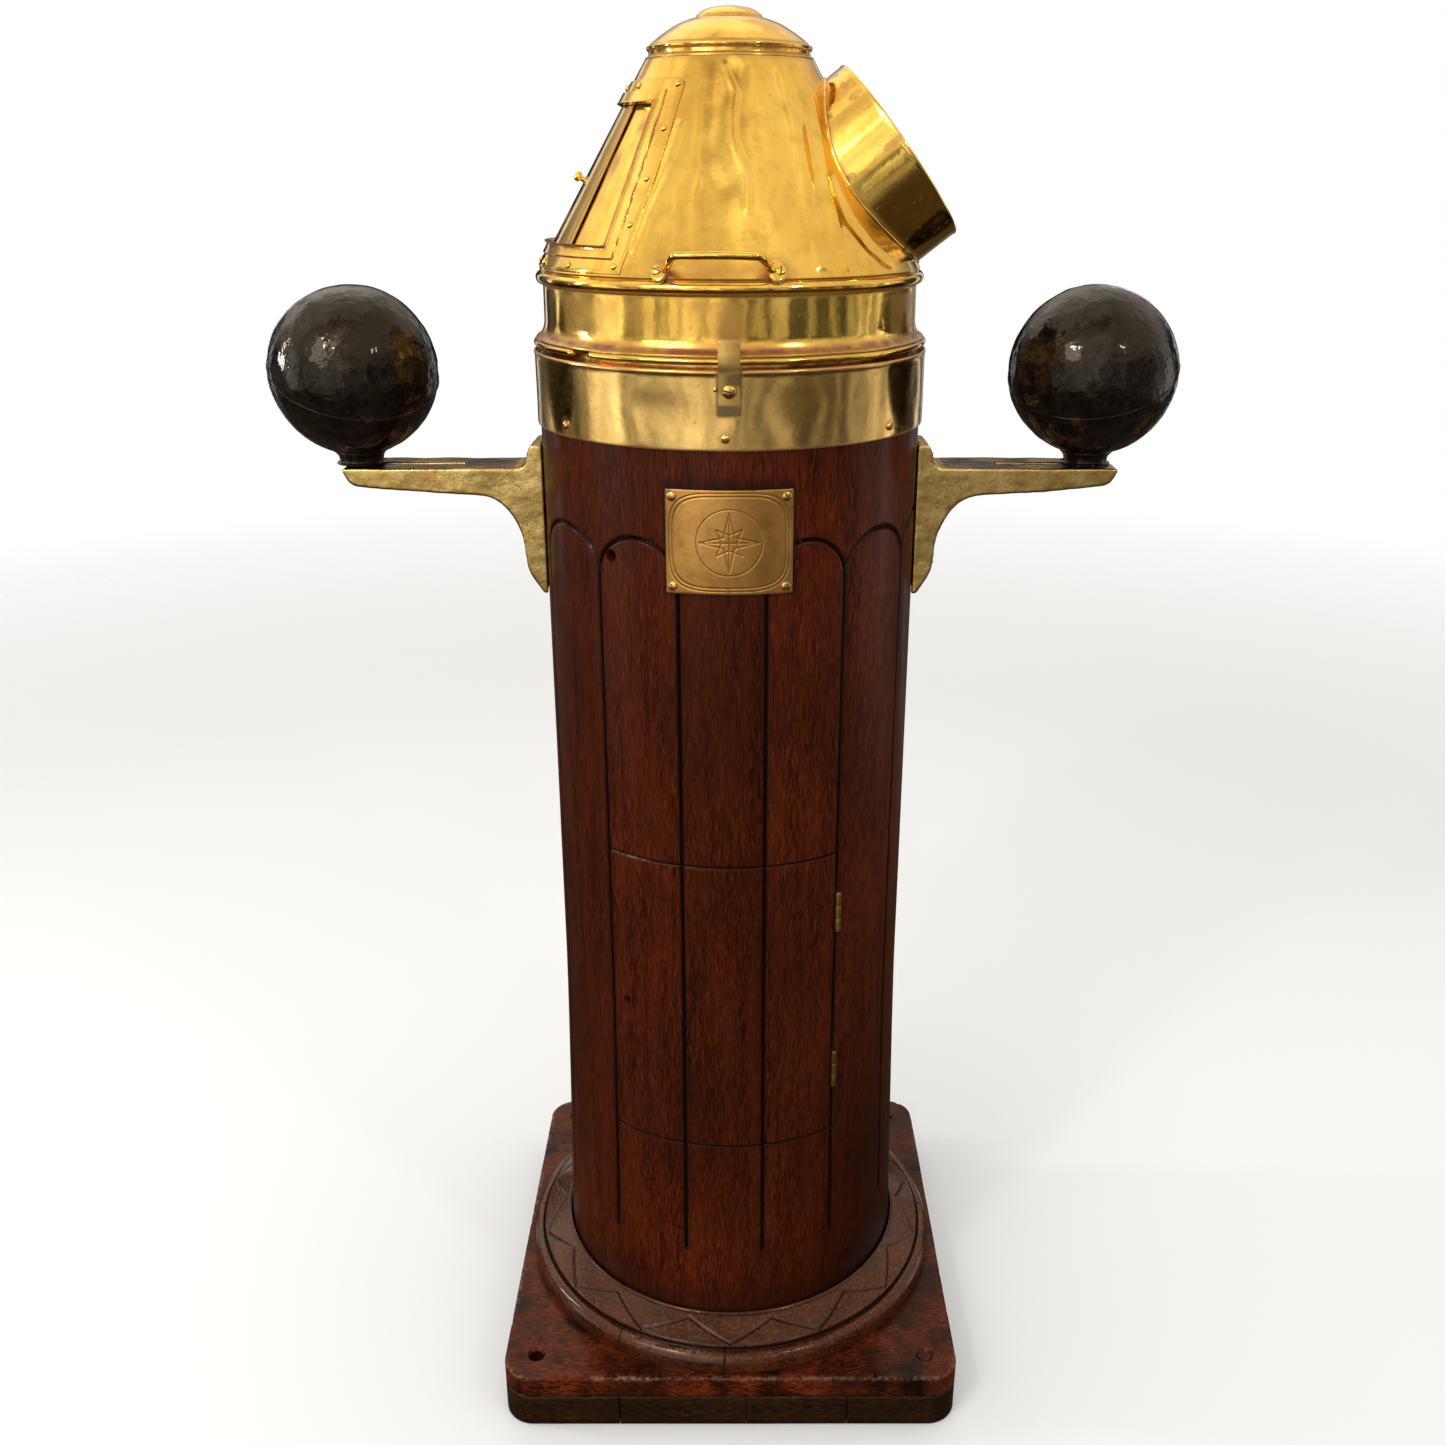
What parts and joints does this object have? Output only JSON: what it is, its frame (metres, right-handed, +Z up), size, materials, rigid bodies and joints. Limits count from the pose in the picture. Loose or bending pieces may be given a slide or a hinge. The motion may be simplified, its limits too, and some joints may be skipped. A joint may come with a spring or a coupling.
{
  "type": "binnacle compass",
  "caption": "Ship's binnacle: wooden pillar with a magnet cupboard, gimballed compass, brass hood with viewing tube and shuttered window, and sliding corrector spheres.",
  "frame": {"origin": "centre of the plinth's underside", "axes": "+Z up; -Y towards the access door and the nameplate; +X towards the viewing tube's side"},
  "size_m": [0.8228, 0.46, 1.3165],
  "materials": {
    "pillar_wood": "varnished mahogany, satin gloss, fine vertical grain",
    "ring_wood": "varnished mahogany, worn and glossy",
    "plinth_wood": "varnished, worn and chipped at the edges",
    "inner_wood": "bare, matt",
    "hood_brass": "polished, dented, tarnished at the edges",
    "band_brass": "polished, dented and scratched",
    "plate_brass": "worn, warm, engraved",
    "cast_brass": "cast, dull and pitted",
    "black_iron": "thick black gloss paint over a rough casting",
    "steel": "plain, dull",
    "weight_metal": "dull grey",
    "clear_glass": "clear",
    "card_face": "matt, printed"
  },
  "bodies": {
    "pedestal": {"plinth_lower": "plinth_wood", "plinth_upper": "plinth_wood", "foot_ring": "ring_wood", "pillar": "pillar_wood", "door_hinge_lower": "cast_brass", "door_hinge_upper": "cast_brass", "cupboard_floor": "inner_wood", "cupboard_ceiling": "inner_wood", "chamber_shelf": "inner_wood", "magnet_shelf_lower": "inner_wood", "magnet_shelf_upper": "inner_wood", "corrector_magnet_lower_1": "steel", "corrector_magnet_lower_2": "steel", "corrector_magnet_upper_1": "steel", "corrector_magnet_upper_2": "steel", "heeling_tube": "band_brass", "nameplate": "plate_brass", "lower_band": "band_brass", "bracket_left": "cast_brass", "bracket_right": "cast_brass", "chamber_ring": "band_brass", "gimbal_bearing_front": "cast_brass", "gimbal_bearing_rear": "cast_brass", "catch_screw_front": "band_brass", "catch_screw_rear": "band_brass"},
    "door": {"access_door": "pillar_wood", "door_hinge_leaf_lower": "cast_brass", "door_hinge_leaf_upper": "cast_brass", "lock_case": "cast_brass"},
    "bolt": {"lock_bolt": "cast_brass"},
    "bucket": {"heeling_bucket": "band_brass"},
    "sphere_left": {"corrector_sphere_left": "black_iron", "sphere_bolt_left": "steel"},
    "sphere_right": {"corrector_sphere_right": "black_iron", "sphere_bolt_right": "steel"},
    "gimbal": {"gimbal_ring": "band_brass"},
    "bowl": {"compass_bowl": "band_brass", "bowl_glass": "clear_glass", "bowl_bezel": "band_brass", "bowl_weight": "weight_metal", "pivot_pin": "steel"},
    "card": {"compass_card": "card_face", "card_float": "cast_brass", "needle_magnet_left": "steel", "needle_magnet_right": "steel"},
    "hood": {"hood_shell": "hood_brass", "hood_cap": "hood_brass", "hood_bead": "hood_brass", "viewing_tube": "hood_brass", "tube_glass": "clear_glass", "tube_glass_ring": "hood_brass", "shutter_frame": "hood_brass", "hood_handle_front": "hood_brass", "hood_handle_rear": "hood_brass"},
    "outer_leaf": {"shutter_outer": "hood_brass", "shutter_knob": "hood_brass"},
    "inner_leaf": {"shutter_inner": "hood_brass"},
    "catch_front": {"hood_catch_front": "band_brass"},
    "catch_rear": {"hood_catch_rear": "band_brass"}
  },
  "joints": [
    {"name": "hood_lift", "type": "slide", "parent": "pedestal", "child": "hood", "axis": [0, 0, 1], "range_m": [0, 0.3]},
    {"name": "shutter_outer_turn", "type": "hinge", "parent": "hood", "child": "outer_leaf", "pos_m": [0, 0, 1.18], "axis": [0, 0, 1], "range_deg": [-19, 19]},
    {"name": "shutter_inner_turn", "type": "hinge", "parent": "hood", "child": "inner_leaf", "pos_m": [0, 0, 1.18], "axis": [0, 0, 1], "range_deg": [-38, 0]},
    {"name": "catch_front_turn", "type": "hinge", "parent": "pedestal", "child": "catch_front", "pos_m": [0, -0.178, 1.025], "axis": [0, 1, 0], "range_deg": [0, 90]},
    {"name": "catch_rear_turn", "type": "hinge", "parent": "pedestal", "child": "catch_rear", "pos_m": [0, 0.178, 1.025], "axis": [0, -1, 0], "range_deg": [0, 90]},
    {"name": "door_swing", "type": "hinge", "parent": "pedestal", "child": "door", "pos_m": [0.10113, -0.14282, 0.45], "axis": [0, 0, 1], "range_deg": [0, 110]},
    {"name": "bolt_throw", "type": "slide", "parent": "door", "child": "bolt", "axis": [-0.8191, 0.5736, 0], "range_m": [0, 0.012]},
    {"name": "bucket_height", "type": "slide", "parent": "pedestal", "child": "bucket", "axis": [0, 0, 1], "range_m": [-0.1, 0.12]},
    {"name": "sphere_left_slide", "type": "slide", "parent": "pedestal", "child": "sphere_left", "axis": [-1, 0, 0], "range_m": [-0.08, 0]},
    {"name": "sphere_right_slide", "type": "slide", "parent": "pedestal", "child": "sphere_right", "axis": [1, 0, 0], "range_m": [-0.068, 0.012]},
    {"name": "gimbal_roll", "type": "hinge", "parent": "pedestal", "child": "gimbal", "pos_m": [0, 0, 1.046], "axis": [0, 1, 0], "range_deg": [-30, 30]},
    {"name": "gimbal_pitch", "type": "hinge", "parent": "gimbal", "child": "bowl", "pos_m": [0, 0, 1.046], "axis": [1, 0, 0], "range_deg": [-30, 30]},
    {"name": "card_turn", "type": "hinge", "parent": "bowl", "child": "card", "pos_m": [0, 0, 1.04], "axis": [0, 0, 1], "continuous": true}
  ]
}
